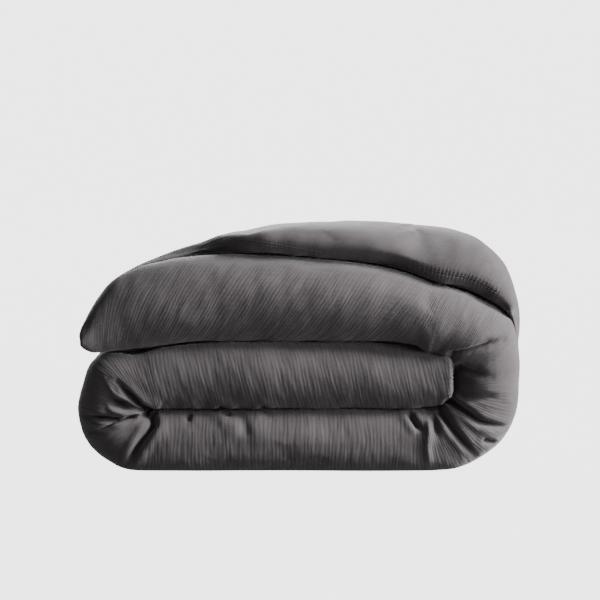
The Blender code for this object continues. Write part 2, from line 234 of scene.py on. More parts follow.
class Plies:
    """The face and reverse panels' y and n at every row, before any fold or crinkle is worked into them."""

    def __init__(self, rows, places):
        inner, outer = rows[:, :2], rows[:, 2:]
        self.total = np.linalg.norm(outer - inner, axis=1)[:, None]
        self.inner = inner
        self.direction = (outer - inner) / self.total
        along, zero = places[:, None], places[:, None] * 0
        total = self.total
        self.front_share = front_shares(rows, places)[:, None]
        on_top = smooth_step(places, *top_range(rows, places))[:, None]
        on_ground = smooth_rows(1.0 * (rows[:, 3:] < 0.004), 6.0)
        upright = np.abs(self.direction[:, 1:]) ** 2
        self.square_in = 1.8 + 0.3 * upright
        self.square_out = 2.1 + 1.4 * on_ground
        self.front = FRONT + 0.005 * (1 - on_top) + 0.003 * (1 + gradient_noise(along / 0.21, zero + 3.3, 5))
        self.edge = FRONT + EDGE_SETBACK + 0.012 * (1 - on_top)
        self.edge = self.edge + 0.004 * gradient_noise(along / 0.12, zero + 7.1, 7)
        self.back_centre = BACK - total * 0.47
        self.front_height = self.front_share * total
        self.front_centre = self.front + self.front_height * 0.46
        behind = np.maximum(self.front_centre + 0.014 - self.edge, 0.0)
        self.edge = self.edge + behind * smooth_step(self.front_share, 0.80, 0.985)
        rolled = smooth_step(-self.inner[:, :1], -0.215, -0.130)
        self.seam_shown = (1 - 0.8 * rolled) * smooth_step(rows[:, 3:], 0.290, 0.312)
        rolled = rolled * smooth_step(self.inner[:, :1], -0.18, -0.03)
        self.tuck = np.radians(38 + 37 * rolled)
        self.widest = 0.30 + 0.14 * rolled  # how high up the flap's rolled edge stands out most
        self.on_top = on_top
        self.head = on_top * smooth_step(self.front_share, 0.79, 0.985)
        self.face, self.reverse = self.panels()

    def b_top(self, y):
        """Height of ply B's top at y: full at the front fold, two thirds of the layer towards the back."""
        slope = smooth_step(y, self.front_centre, self.front_centre + PLY_EASE)
        height = self.front_height + (self.total * 2 / 3 - self.front_height) * slope - PLY_GAP / 2
        room = self.total - 2 * EDGE_LIP - 2 * PLY_GAP
        dip = smooth_step(y, self.front_centre, self.front_centre + 0.013)
        return height - np.maximum(height - room, 0.0) * dip

    def panels(self):
        """The face panel's and the reverse panel's points, ply by ply: C, back fold, A, front fold, B."""
        total, face, reverse, on_top = self.total, [], [], self.on_top
        third = total / 3
        back_top = total - BACK_SAG * on_top
        stand_off = EDGE_LIFT * smooth_step(total - self.front_height, 0.012, 0.040)

        low = self.b_top(self.edge) + PLY_GAP + EDGE_LIP + stand_off
        rise = np.maximum(total - low, EDGE_LIP)
        deep = np.clip(1.05 * rise, 0.020, 0.060)
        turn = np.linspace(0, 1, BULGE)[None, :] * (math.pi / 2 + self.tuck) - self.tuck
        up = np.sin(turn) * np.where(turn < 0, self.widest / np.sin(self.tuck), 1 - self.widest)
        bulge_y = self.edge + deep * (1 - np.cos(turn))
        bulge_n = low + rise * (self.widest + up)
        crest_y = self.edge + deep
        back = np.linspace(0, 1, C_TOP - BULGE + 1)[None, 1:-1]
        back_y = crest_y + (self.back_centre - crest_y) * back
        back_n = total + (back_top - total) * smooth_step(back, 0.0, 1.0)
        y = np.concatenate([bulge_y, back_y], axis=1)
        under = self.b_top(y) + PLY_GAP + stand_off * np.exp(-np.abs(y - self.edge) / 0.018)
        under = np.minimum(under, total - 2 * EDGE_LIP)
        under = np.where(y < bulge_y[:, :1] + 0.004, low - EDGE_LIP, under)
        over = np.concatenate([bulge_n, back_n], axis=1)
        over = over - 0.005 * (1 - on_top) * np.exp(-np.abs(y - self.edge) / 0.04)
        face.append((y, np.maximum(over, low - EDGE_LIP)))
        reverse.append((np.maximum(y, bulge_y[:, :1]), under))

        turn = np.linspace(math.pi / 2, -math.pi / 2, BACK_FOLD + 1)[None, :]
        c, s = np.cos(turn), np.sin(turn)
        reach = BACK - self.back_centre
        face.append((self.back_centre + reach * c, back_top / 2 * (1 + s)))
        reverse.append((self.back_centre + (third / 2 + PLY_GAP) * c, total / 2 + (third / 2 + PLY_GAP) * s))

        y = self.back_centre + (self.front_centre - self.back_centre) * np.linspace(0, 1, A_UNDER + 1)[None, 1:-1]
        lift = smooth_step(y, self.front_centre, self.front_centre + PLY_EASE)
        a_top = self.front_height / 2 + (third - self.front_height / 2) * lift - PLY_GAP
        face.append((y, y * 0))
        reverse.append((y, a_top))

        turn = np.linspace(1.5 * math.pi, 0.5 * math.pi, FRONT_FOLD + 1)[None, :]
        c, s = np.cos(turn), np.sin(turn)
        reach = self.front_centre - self.front
        square = np.where(s > 0, self.square_out, self.square_in)
        c = -np.abs(c) ** (2 / square)
        s = np.sign(s) * np.abs(s) ** (2 / square)
        face.append((self.front_centre + reach * c, self.front_height / 2 * (1 + s) - PLY_GAP / 2 * (s > 0) * s))
        reverse.append((self.front_centre + 0.004 * c, self.front_height / 2 + PLY_GAP * s))

        hidden = self.back_centre - 0.010
        y = self.front_centre + (hidden - self.front_centre) * np.linspace(0, 1, B_TOP + 1)[None, 1:]
        lift = smooth_step(y, self.front_centre, self.front_centre + PLY_EASE)
        b_under = self.front_height / 2 + (third - self.front_height / 2) * lift + PLY_GAP
        round_off = np.sqrt(1 - (1 - np.clip((hidden - y) / 0.03, 0, 1)) ** 2)
        top, middle = self.b_top(y), (self.b_top(y) + b_under) / 2
        face.append((y, middle + (top - middle) * np.maximum(round_off, 0.05)))
        reverse.append((y, middle + (b_under - middle) * np.maximum(round_off, 0.05)))
        sides = []
        for side in (face, reverse):
            y, n = (np.concatenate([p[i] for p in side], axis=1) for i in (0, 1))
            fall = np.minimum(HEAD_SLOPE * np.maximum(y - self.front_centre + 0.004, 0.0), 0.36 * total)
            sides.append(np.stack([y, n * (1 - self.head * fall / total)], axis=2))
        return sides

    def in_space(self, section):
        """The section's y and n as points in space."""
        n = section[..., 1]
        x = self.inner[:, None, 0] + self.direction[:, None, 0] * n
        z = self.inner[:, None, 1] + self.direction[:, None, 1] * n
        return np.stack([x, section[..., 0], z], axis=2)


def front_shares(rows, places):
    """The front fold's share of the thickness at every row, read from the places named in FRONT_SHARES."""
    where, share = [], []
    for x, z, value in FRONT_SHARES:
        near = np.hypot(rows[:, 2] - x, rows[:, 3] - z)
        where.append(places[np.argmin(near)])
        share.append(value)
    order = np.argsort(where)
    values = np.interp(places, np.array(where)[order], np.array(share)[order])
    return smooth_rows(values[:, None], 9.0)[:, 0]


def top_range(rows, places):
    """Where along the strip the bottom layer's proportions turn into the top layer's: round the right bend."""
    bend = places[np.argmax(rows[:, 2])]
    return bend - 0.10, bend + 0.16


def pinch_ends(face, reverse, places):
    """Draws the plies' two faces together towards the sewn foot and head ends."""
    from_foot, from_head = places, places[-1] - places
    near = np.minimum(from_foot * 1.6, from_head)
    open_share = np.sqrt(1 - (1 - np.clip(near / PINCH_LENGTH, 0, 1)) ** 2)
    keep = (0.07 + 0.93 * open_share)[:, None, None]
    middle = (face + reverse) / 2
    return middle + (face - middle) * keep, middle + (reverse - middle) * keep


# ---- folds pressed into the front ----------------------------------------------------------------------------------
# Each crease: depth, half width, then its points as x, z on the front, from its deep end outwards.
CREASES = (
    (0.010, 0.0045, ((0.228, 0.182), (0.251, 0.189), (0.281, 0.201), (0.303, 0.204))),
    (0.006, 0.0060, ((0.240, 0.160), (0.257, 0.156), (0.283, 0.151))),
    (0.005, 0.0060, ((0.246, 0.117), (0.275, 0.118), (0.303, 0.120))),
    (0.012, 0.0045, ((0.226, 0.110), (0.250, 0.096), (0.272, 0.081), (0.318, 0.067))),
    (0.010, 0.0045, ((0.215, 0.090), (0.236, 0.063), (0.264, 0.029))),
    (0.006, 0.0040, ((0.281, 0.051), (0.300, 0.042))),
    (0.009, 0.0040, ((0.168, 0.088), (0.176, 0.076), (0.184, 0.068))),
    (-0.004, 0.0055, ((0.195, 0.076), (0.192, 0.045), (0.196, 0.012))),
    (0.005, 0.0050, ((0.203, 0.083), (0.208, 0.060))),
    (0.013, 0.0035, ((-0.270, 0.086), (-0.295, 0.087), (-0.319, 0.088))),
    (0.012, 0.0035, ((-0.250, 0.087), (-0.274, 0.079), (-0.290, 0.072), (-0.313, 0.063))),
    (-0.003, 0.0030, ((-0.228, 0.097), (-0.244, 0.107), (-0.274, 0.125), (-0.289, 0.147))),
    (0.009, 0.0038, ((-0.230, 0.100), (-0.250, 0.122), (-0.270, 0.143))),
    (0.010, 0.0060, ((-0.260, 0.108), (-0.279, 0.114))),
    (-0.003, 0.0030, ((-0.238, 0.095), (-0.256, 0.094), (-0.281, 0.101), (-0.286, 0.115))),
    (0.012, 0.0050, ((-0.218, 0.076), (-0.241, 0.043), (-0.257, 0.017))),
    (0.014, 0.0080, ((-0.226, 0.090), (-0.214, 0.084))),
    (0.005, 0.0045, ((-0.164, 0.094), (-0.168, 0.078))),
    (0.008, 0.0050, ((-0.116, 0.096), (-0.100, 0.086))),
    (0.004, 0.0080, ((-0.088, 0.092), (-0.080, 0.072), (-0.078, 0.052))),
    (0.007, 0.0050, ((-0.052, 0.097), (-0.046, 0.090))),
)


def distance_to(points, x, z):
    """Distance of x, z from a line through points, and the place on the line nearest to it, 0 to 1."""
    best, place, run = np.full(x.shape, 1e9), np.zeros(x.shape), 0.0
    for (ax, az), (bx, bz) in zip(points, points[1:]):
        length = math.hypot(bx - ax, bz - az)
        t = np.clip(((x - ax) * (bx - ax) + (z - az) * (bz - az)) / length**2, 0, 1)
        away = np.hypot(x - ax - t * (bx - ax), z - az - t * (bz - az))
        place = np.where(away < best, run + t * length, place)
        best = np.minimum(best, away)
        run += length
    return best, place / run


def crease_depth(x, z):
    """How far the creases are pressed in; each fades outwards and swells a little along its sides."""
    pressed = np.zeros(x.shape)
    for depth, width, points in CREASES:
        away, place = distance_to(points, x, z)
        depth = depth * (1 - 0.8 * smooth_step(place, 0.55, 1.0))
        pressed += depth * np.exp(-((away / width) ** 2))
        pressed -= 0.25 * depth * np.exp(-(((away - 2.4 * width) / (1.5 * width)) ** 2))
    return pressed


# ---- normals and lengths on the grid -------------------------------------------------------------------------------
def sheet_normals(sheet):
    along = np.gradient(sheet, axis=0)
    round_it = np.gradient(sheet, axis=1)
    normal = np.cross(round_it, along)
    return normal / np.maximum(np.linalg.norm(normal, axis=2, keepdims=True), 1e-12)


def round_lengths(face):
    """Length round the section, from ply C's edge to the end of the back fold, then from the front fold's middle."""
    steps = np.linalg.norm(np.diff(face, axis=1), axis=2)
    run = np.concatenate([np.zeros((len(face), 1)), np.cumsum(steps, axis=1)], axis=1)
    run[:, A_START:] -= run[:, FRONT_MIDDLE : FRONT_MIDDLE + 1]
    return run


# ---- the cover's surface -------------------------------------------------------------------------------------------
def crinkle(along, round_it, lean, seed):
    """Double gauze puckers into broken ridges that run round the section."""
    u = along + lean * round_it
    drift = 0.0016 * gradient_noise(u / 0.040, round_it / 0.040, seed + 1)
    main = gradient_noise((u + drift) / 0.0082, round_it / 0.026 + 5.7, seed + 2)
    broad = gradient_noise((u - drift) / 0.0200, round_it / 0.045 + 9.1, seed + 3)
    patch = 0.9 + 0.7 * gradient_noise(along / 0.045, round_it / 0.060, seed + 4)
    return patch * (0.0007 * main + 0.0005 * broad)


def rolling(along, round_it, seed):
    """The soft lumps of the wadding under the cover."""
    broad = gradient_noise(along / 0.085, round_it / 0.070, seed)
    small = gradient_noise(along / 0.034, round_it / 0.045, seed + 1)
    return 0.0034 * broad + 0.0013 * small


class Cover:
    """The finished grid: face and reverse points for every row and column."""

    def __init__(self):
        rows, places = strip_rows()
        plies = Plies(rows, places)
        face = plies.in_space(plies.face)
        reverse = plies.in_space(plies.reverse)
        self.places = places
        self.free = self.freedom(plies, face)
        self.top_rows, self.seam_shown = plies.on_top, plies.seam_shown
        length = round_lengths(face)
        along = np.repeat(places[:, None], FACE_COUNT, axis=1)
        normal = sheet_normals(face)
        facing = smooth_step(-normal[..., 1], 0.15, 0.6)
        pressed = crease_depth(face[..., 0], face[..., 2]) * facing
        off_ground = 0.1 + 0.9 * smooth_step(face[..., 2], 0.002, 0.022)
        relief = (rolling(along, length, 20) * self.free - pressed) * off_ground
        face = face + normal * relief[..., None]
        face = face + wrinkled(face, self.free)
        face, reverse = pinch_ends(face, reverse, places)
        normal = sheet_normals(face)
        lean = self.lean(rows)
        spacing = np.linalg.norm(np.gradient(face, axis=0), axis=2) / ROW_STEP
        fanned = smooth_step(spacing, 0.25, 0.85)
        self.strength = self.crinkle_strength()
        crinkles = crinkle(along, length, lean, 40) * (0.35 + 0.65 * self.free) * off_ground * fanned
        crinkles = crinkles * self.strength[..., 0] + self.edge_puckers(along, length)
        self.face = face + normal * crinkles[..., None]
        self.face[..., 2] = np.maximum(self.face[..., 2], 0.0003)
        keep = list(range(0, FACE_COUNT, REVERSE_STEP))
        if keep[-1] != FACE_COUNT - 1:
            keep.append(FACE_COUNT - 1)
        self.keep = keep
        self.reverse = reverse[:, keep][:, ::-1]
        self.length = length
        self.lay = along + lean * length
        self.loop = np.concatenate([self.face, self.reverse], axis=1)
        self.normals = self.loop_normals()

    def lean(self, rows):
        """How the crinkles lean: to the right on the top layer's front, a little to the left on the middle layer's."""
        on_top = (rows[:, 1] > TOP_FLOOR - 0.006) & (rows[:, 3] > 0.30)
        on_middle = np.arange(len(rows)) < np.argmin(rows[: len(rows) // 2, 2])
        return smooth_rows((on_top * 0.62 - on_middle * 0.20)[:, None], 14.0)

    def freedom(self, plies, face):
        """1 where the cover is free, low where it lies between layers or plies."""
        column = np.arange(FACE_COUNT)
        under_flap = smooth_step(column.astype(float), B_START + 1.0, B_START + 7.0)
        free = np.ones(face.shape[:2]) - 0.85 * under_flap[None, :]
        in_a = (column >= A_START) & (column < FRONT_START)
        edge_in = smooth_step(column.astype(float), FRONT_START - 3.0, FRONT_START + 4.0)
        free *= np.where(in_a, np.maximum(0.12, edge_in), 1.0)
        flat_outer = (np.abs(plies.direction[:, 1]) > 0.97) & (plies.inner[:, 1] < TOP_FLOOR - 0.003)
        c_ply = column < C_TOP + 2
        free = np.where(flat_outer[:, None] & c_ply[None, :], np.minimum(free, 0.15), free)
        return smooth_rows(free, 6.0)

    def crinkle_strength(self):
        """How strong the ridges round the section are, and those along the strip: the flap is drawn smooth."""
        column = np.arange(FACE_COUNT, dtype=float)[None, :]
        on_flap = 1 - smooth_step(column, C_TOP - 2.0, C_TOP + 8.0)
        shoulder = smooth_step(column, FRONT_START + 0.62 * FRONT_FOLD, B_START - 2.0)
        ridges = (1 - 0.72 * on_flap) * (1 - 0.45 * shoulder)
        from_head = (self.places[-1] - self.places)[:, None]
        ridges = ridges * (0.30 + 0.70 * smooth_step(from_head, 0.02, 0.19))
        top_front = self.top_rows * smooth_step(column, A_START + 8.0, FRONT_START + 8.0)
        across = 0.12 + 0.30 * top_front + 0.22 * on_flap
        return np.stack(np.broadcast_arrays(ridges, across), axis=2)

    def edge_puckers(self, along, length):
        """The topstitched sewn edge: a groove a few millimetres in, with short gathers across it."""
        groove = np.exp(-(((length - SEAM_INSET) / 0.0020) ** 2))
        reach = np.exp(-(((length - SEAM_INSET) / 0.0075) ** 2))
        drift = 0.5 * gradient_noise(along / 0.03, length * 0, 61)
        ripple = np.sin(2 * math.pi * (along / 0.0074 + drift)) * (0.6 + gradient_noise(along / 0.05, length * 0, 62))
        on_ply_c = np.arange(FACE_COUNT)[None, :] < C_TOP
        edge = np.where(on_ply_c, (reach * ripple * 0.0010 - groove * 0.0010) * self.seam_shown, 0.0)
        gather = np.sin(2 * math.pi * (length / 0.0068 + 0.6 * gradient_noise(length / 0.02, length * 0, 63)))
        return edge + np.exp(-along / 0.007) * gather * 0.0011

    def loop_normals(self):
        """One normal for each point of the closed loop, so that pieces cut from the skin shade as one."""
        ring = np.concatenate([self.loop[:, -1:], self.loop, self.loop[:, :1]], axis=1)
        return sheet_normals(ring)[:, 1:-1]


# ---- wrinkles by cloth simulation ----------------------------------------------------------------------------------
SIM_ROWS, SIM_COLUMNS = 4, 2
SIM_FRAMES = 16
SPARE_CLOTH = 1.07
WRINKLE_CAP = 0.014


def wrinkled(face, free):
    """How far each point moves when the cover, cut larger than what it wraps, settles on the wadding."""
    rows = np.unique(np.append(np.arange(0, face.shape[0], SIM_ROWS), face.shape[0] - 1))
    columns = np.unique(np.append(np.arange(0, face.shape[1], SIM_COLUMNS), face.shape[1] - 1))
    start = face[np.ix_(rows, columns)]
    settled = settle(start, free[np.ix_(rows, columns)])
    moved = settled - start
    reach = np.linalg.norm(moved, axis=2, keepdims=True)
    moved *= np.minimum(1.0, WRINKLE_CAP / np.maximum(reach, 1e-9))
    moved *= (0.1 + 0.9 * free[np.ix_(rows, columns)])[..., None]
    return upsampled(moved, rows, columns, face.shape[:2])


def settle(start, free):
    """Runs the cloth on a coarse grid and gives back where its points come to rest."""
    count_r, count_c = start.shape[:2]
    index = np.arange(count_r * count_c).reshape(count_r, count_c)
    quads = np.stack([index[:-1, :-1], index[:-1, 1:], index[1:, 1:], index[1:, :-1]], axis=2).reshape(-1, 4)
    data = bpy.data.meshes.new("cover_sim")
    data.from_pydata(start.reshape(-1, 3).tolist(), [], quads.tolist())
    sheet = bpy.data.objects.new("cover_sim", data)
    bpy.context.collection.objects.link(sheet)
    sheet.shape_key_add(name="Basis")
    cut = sheet.shape_key_add(name="cut")
    flat = (start.reshape(-1, 3) * SPARE_CLOTH).ravel()
    cut.data.foreach_set("co", flat)
    cut.value = 0.0
    held = sheet.vertex_groups.new(name="held")
    hold = 1.0 - 0.94 * free.ravel()
    for level in np.unique(np.round(hold, 2)):
        chosen = np.nonzero(np.round(hold, 2) == level)[0]
        held.add(chosen.tolist(), float(level), "REPLACE")
    cloth = sheet.modifiers.new("cloth", "CLOTH")
    settings = cloth.settings
    settings.quality = 6
    settings.mass = 0.3
    settings.tension_stiffness = 25
    settings.compression_stiffness = 25
    settings.shear_stiffness = 8
    settings.bending_stiffness = 0.35
    settings.air_damping = 2.0
    settings.effector_weights.gravity = 0.0
    settings.vertex_group_mass = "held"
    settings.pin_stiffness = 1.0
    settings.rest_shape_key = cut
    settings.use_pressure = True
    settings.uniform_pressure_force = 0.5
    cloth.point_cache.frame_start = 1
    cloth.point_cache.frame_end = SIM_FRAMES
    for step in range(1, SIM_FRAMES + 1):
        bpy.context.scene.frame_set(step)
    shown = sheet.evaluated_get(bpy.context.evaluated_depsgraph_get())
    result = np.empty(len(data.vertices) * 3)
    shown.data.vertices.foreach_get("co", result)
    bpy.context.scene.frame_set(1)
    bpy.data.objects.remove(sheet, do_unlink=True)
    return result.reshape(start.shape)


def upsampled(values, rows, columns, shape):
    """Smooth interpolation from the coarse grid to every row and column."""
    by_row = np.stack([catmull(values[:, :, i], rows, shape[0]) for i in range(3)], axis=2)
    turned = by_row.transpose(1, 0, 2)
    both = np.stack([catmull(turned[:, :, i], columns, shape[1]) for i in range(3)], axis=2)
    return both.transpose(1, 0, 2)


def catmull(values, knots, count):
    """Catmull-Rom interpolation between the knots' values, at every whole number below count."""
    where = np.arange(count)
    k = np.clip(np.searchsorted(knots, where, side="right") - 1, 0, len(knots) - 2)
    t = ((where - knots[k]) / (knots[k + 1] - knots[k]))[:, None]
    a, b = values[np.maximum(k - 1, 0)], values[k]
    c, d = values[k + 1], values[np.minimum(k + 2, len(knots) - 1)]
    return b + 0.5 * t * (c - a + t * (2 * a - 5 * b + 4 * c - d + t * (3 * (b - c) + d - a)))


# ---- pieces cut from the cover -------------------------------------------------------------------------------------
def cover_piece(name, cover, first, last, columns, material, foot_cap=False, head_cap=False):
    """The skin's rows first to last and the given columns of its closed loop, as one mesh."""
    rows = np.arange(first, last + 1)
    columns = np.asarray(columns)
    points = cover.loop[np.ix_(rows, columns)].reshape(-1, 3)
    normals = cover.normals[np.ix_(rows, columns)].reshape(-1, 3)
    width = len(columns)
    index = np.arange(len(points)).reshape(len(rows), width)
    closed = width == cover.loop.shape[1]
    right = np.roll(index, -1, axis=1) if closed else index[:, 1:]
    left = index if closed else index[:, :-1]
    quads = np.stack([left[:-1], right[:-1], right[1:], left[1:]], axis=2).reshape(-1, 4)
    faces = quads.tolist()
    if foot_cap:
        faces += end_cap(index[0], columns, cover, False)
    if head_cap:
        faces += end_cap(index[-1], columns, cover, True)
    data = bpy.data.meshes.new(name)
    data.from_pydata(points.tolist(), [], faces)
    corners = np.empty(len(data.loops), dtype=np.int32)
    data.loops.foreach_get("vertex_index", corners)
    for label, values in (("cloth", cloth_coordinates(cover)), ("crinkle", crinkle_values(cover))):
        uv = values[np.ix_(rows, columns)].reshape(-1, 2)
        data.uv_layers.new(name=label).data.foreach_set("uv", uv[corners].ravel())
    data.materials.append(material)
    data.shade_smooth()
    data.normals_split_custom_set_from_vertices(normals.tolist())
    piece = bpy.data.objects.new(name, data)
    bpy.context.collection.objects.link(piece)
    return piece


def cloth_coordinates(cover):
    """Places on the cloth in metres, along the strip and round the section."""
    face = np.stack([cover.lay, cover.length], axis=2)
    reverse = face[:, cover.keep][:, ::-1] + np.array([0.0, 3.0])
    return np.concatenate([face, reverse], axis=1)


def crinkle_values(cover):
    """The strength of the ridges and of those across them, on the whole loop."""
    return np.concatenate([cover.strength, cover.strength[:, cover.keep][:, ::-1]], axis=1)


def end_cap(ring, columns, cover, flip):
    """Closes a sewn end between the face panel and the reverse panel."""
    place = {int(c): int(v) for c, v in zip(columns, ring)}
    total = FACE_COUNT + len(cover.keep)
    faces = []
    for i, (a, b) in enumerate(zip(cover.keep, cover.keep[1:])):
        behind_a, behind_b = total - 1 - i, total - 2 - i
        around = list(range(a, b + 1)) + [behind_b, behind_a]
        if all(c in place for c in around):
            face = [place[c] for c in around]
            faces.append(face if flip else face[::-1])
    return faces


def sampled(place, knots, values):
    """The values, one row per knot, read off at the given places."""
    return np.stack([np.interp(place, knots, values[:, i]) for i in range(3)], axis=1)


def beside_seam(inset, cover, values, first, last):
    """The values on the flap's cover at one distance from its sewn edge, for rows first to last."""
    return np.concatenate(
        [sampled([inset], cover.length[r, :C_TOP], values[r, :C_TOP]) for r in range(first, last + 1)]
    )


def stitches(name, cover, first, last, material):
    """Two rows of topstitching along the sewn edge, each stitch a short raised thread."""
    points, faces = [], []
    for inset in (SEAM_INSET - SEAM_HALF_WIDTH, SEAM_INSET + SEAM_HALF_WIDTH):
        line = beside_seam(inset, cover, cover.face, first, last)
        up = beside_seam(inset, cover, cover.normals, first, last)
        run = (last - first) * ROW_STEP
        rows = np.arange(last - first + 1) * ROW_STEP
        for start in np.arange(0.0015, run - 0.004, STITCH_PITCH):
            place = start + STITCH_LENGTH * np.array([0.0, 0.25, 0.75, 1.0])
            path, out = sampled(place, rows, line), sampled(place, rows, up)
            path = path + out * np.array([[-0.0001], [0.0004], [0.0004], [-0.0001]])
            side = np.cross(out, np.gradient(path, axis=0))
            side /= np.linalg.norm(side, axis=1, keepdims=True)
            base = len(points)
            for centre, o, w in zip(path, out, side):
                points += [centre + THREAD * o, centre + THREAD * w, centre - THREAD * o, centre - THREAD * w]
            for ring in range(3):
                for k in range(4):
                    a, b = base + 4 * ring + k, base + 4 * ring + (k + 1) % 4
                    faces.append((a, a + 4, b + 4, b))
            faces.append((base, base + 1, base + 2, base + 3))
            faces.append((base + 15, base + 14, base + 13, base + 12))
    data = bpy.data.meshes.new(name)
    data.from_pydata([tuple(p) for p in points], [], faces)
    data.shade_smooth()
    data.materials.append(material)
    piece = bpy.data.objects.new(name, data)
    bpy.context.collection.objects.link(piece)
    return piece


# ---- materials -----------------------------------------------------------------------------------------------------
def group_with(name, inputs, outputs):
    group = bpy.data.node_groups.new(name, "ShaderNodeTree")
    for label, kind, value in inputs:
        socket = group.interface.new_socket(label, in_out="INPUT", socket_type=kind)
        if value is not None:
            socket.default_value = value
    for label, kind in outputs:
        group.interface.new_socket(label, in_out="OUTPUT", socket_type=kind)
    return group, group.nodes.new("NodeGroupInput"), group.nodes.new("NodeGroupOutput")


def math_node(tree, operation, a, b=None, c=None):
    node = tree.nodes.new("ShaderNodeMath")
    node.operation = operation
    for slot, value in enumerate((a, b, c)):
        if value is None:
            continue
        if isinstance(value, (int, float)):
            node.inputs[slot].default_value = value
        else:
            tree.links.new(value, node.inputs[slot])
    return node.outputs[0]


def stretched_noise(tree, vector, per_metre, detail, distortion=0.0):
    """Noise with its own number of features per metre along and across the cloth."""
    stretch = tree.nodes.new("ShaderNodeMapping")
    stretch.inputs["Scale"].default_value = (*per_metre, 1.0)
    tree.links.new(vector, stretch.inputs["Vector"])
    noise = tree.nodes.new("ShaderNodeTexNoise")
    noise.inputs["Scale"].default_value = 1.0
    noise.inputs["Detail"].default_value = detail
    noise.inputs["Distortion"].default_value = distortion
    tree.links.new(stretch.outputs[0], noise.inputs["Vector"])
    return noise.outputs["Fac"]


RIDGES = 165.0  # per metre of cloth


def crinkle_group():
    """Puckered ridges of double gauze, with a fainter set across them, in the cloth's own coordinates. Shade is
    painted shade, darker in the grooves and lighter on the ridges, plus random patches of tone.
    """
    tree, given, made = group_with(
        "gauze_crinkle",
        [("Cloth", "NodeSocketVector", None), ("Ridges", "NodeSocketFloat", 1.0), ("Across", "NodeSocketFloat", 0.25)],
        [("Height", "NodeSocketFloat"), ("Shade", "NodeSocketFloat")],
    )
    cloth = given.outputs["Cloth"]
    separate = tree.nodes.new("ShaderNodeSeparateXYZ")
    tree.links.new(cloth, separate.inputs[0])
    wander = math_node(tree, "MULTIPLY", stretched_noise(tree, cloth, (34.0, 14.0), 1.0), 13.0)
    turns = math_node(tree, "ADD", math_node(tree, "MULTIPLY", separate.outputs["X"], 2 * math.pi * RIDGES), wander)
    ridges = math_node(tree, "SINE", turns)
    strength = stretched_noise(tree, cloth, (70.0, 34.0), 1.0)
    ridges = math_node(tree, "MULTIPLY", ridges, math_node(tree, "MULTIPLY", strength, 0.60))
    puff = math_node(tree, "MULTIPLY", stretched_noise(tree, cloth, (150.0, 26.0), 1.0, 0.05), 1.5)
    ridges = math_node(tree, "MULTIPLY", math_node(tree, "ADD", ridges, puff), given.outputs["Ridges"])
    cross = math_node(tree, "MULTIPLY", stretched_noise(tree, cloth, (36.0, 170.0), 0.5, 0.1), 1.8)
    cross = math_node(tree, "MULTIPLY", cross, given.outputs["Across"])
    fine = math_node(tree, "MULTIPLY", stretched_noise(tree, cloth, (420.0, 160.0), 1.0, 0.1), 0.35)
    height = math_node(tree, "ADD", ridges, math_node(tree, "ADD", cross, fine))
    patches = stretched_noise(tree, cloth, (30.0, 24.0), 4.0)
    # painted shade: the colour darkens in the crinkles' grooves and lightens on their ridges; the patches add random
    # tone
    painted_groove_shade = math_node(tree, "MULTIPLY_ADD", height, 0.17, 0.14)
    shade = math_node(tree, "ADD", painted_groove_shade, math_node(tree, "MULTIPLY", patches, 0.50))
    tree.links.new(height, made.inputs["Height"])
    tree.links.new(shade, made.inputs["Shade"])
    return tree


def weave_group():
    """Open plain weave: threads over and under each other."""
    tree, given, made = group_with(
        "gauze_weave",
        [("Cloth", "NodeSocketVector", None), ("Thread pitch", "NodeSocketFloat", 0.0009)],
        [("Height", "NodeSocketFloat")],
    )
    separate = tree.nodes.new("ShaderNodeSeparateXYZ")
    tree.links.new(given.outputs["Cloth"], separate.inputs[0])
    waves = []
    for axis in ("X", "Y"):
        cycles = math_node(tree, "DIVIDE", separate.outputs[axis], given.outputs["Thread pitch"])
        waves.append(math_node(tree, "SINE", math_node(tree, "MULTIPLY", cycles, 2 * math.pi)))
    weave = math_node(tree, "MULTIPLY", waves[0], waves[1])
    tree.links.new(math_node(tree, "MULTIPLY_ADD", weave, 0.5), made.inputs["Height"])
    return tree


CRINKLE = crinkle_group()
WEAVE = weave_group()


